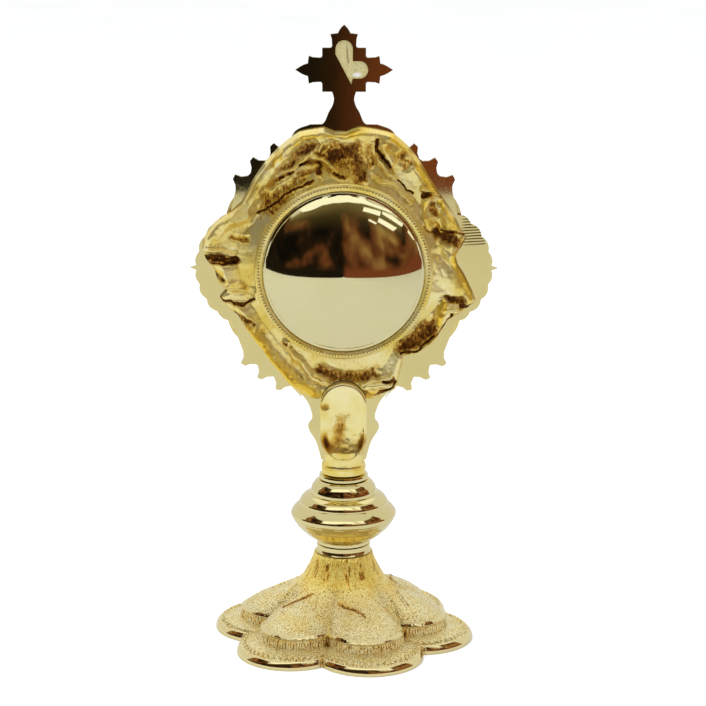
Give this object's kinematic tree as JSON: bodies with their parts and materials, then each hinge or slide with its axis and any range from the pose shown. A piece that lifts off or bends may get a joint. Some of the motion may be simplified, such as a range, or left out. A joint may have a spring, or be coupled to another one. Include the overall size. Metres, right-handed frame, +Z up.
{
  "type": "standing reliquary",
  "caption": "Gilded brass reliquary: lobed hollow foot, turned stem, sunburst head with cross, and a round relic case with window and push-fit domed cover.",
  "frame": {"origin": "middle of the foot's underside, on the surface that the reliquary stands on", "axes": "+Z up; the back of the head, with the domed cover, faces -Y; the window faces +Y; +X is to the right when the back is looked at"},
  "size_m": [0.1048, 0.089, 0.2132],
  "materials": {
    "gilt_polished": "mirror-polished gilding",
    "gilt_cast": "bright cast gilding with brown in the hollows",
    "gilt_stippled": "bright gilding over a fine stipple",
    "inner_brass": "plain turned brass",
    "steel": "zinc-plated steel",
    "clear_glass": "clear flat glass",
    "red_velvet": "cut-pile velvet",
    "cork": "thin cork sealing ring"
  },
  "bodies": {
    "stand": {"foot": "gilt_stippled", "foot_washer": "steel", "foot_nut": "steel", "tie_rod": "steel", "foot_collar": "gilt_polished", "knop": "gilt_polished", "neck_ring": "gilt_polished", "head_fork": "gilt_cast", "sunburst_plate": "gilt_polished", "back_casting": "gilt_cast", "front_casting": "gilt_cast", "case_barrel": "inner_brass", "window_seal": "cork", "window_glass": "clear_glass", "relic_holder": "inner_brass", "relic_pad": "red_velvet", "backing_disc": "inner_brass", "spring_ring": "steel", "back_bead_ring": "gilt_polished", "front_bead_ring": "gilt_polished"},
    "cover": {"rear_cover": "gilt_polished"}
  },
  "joints": [
    {"name": "cover_pull", "type": "slide", "parent": "stand", "child": "cover", "axis": [0, -1, 0], "range_m": [0, 0.03]}
  ]
}
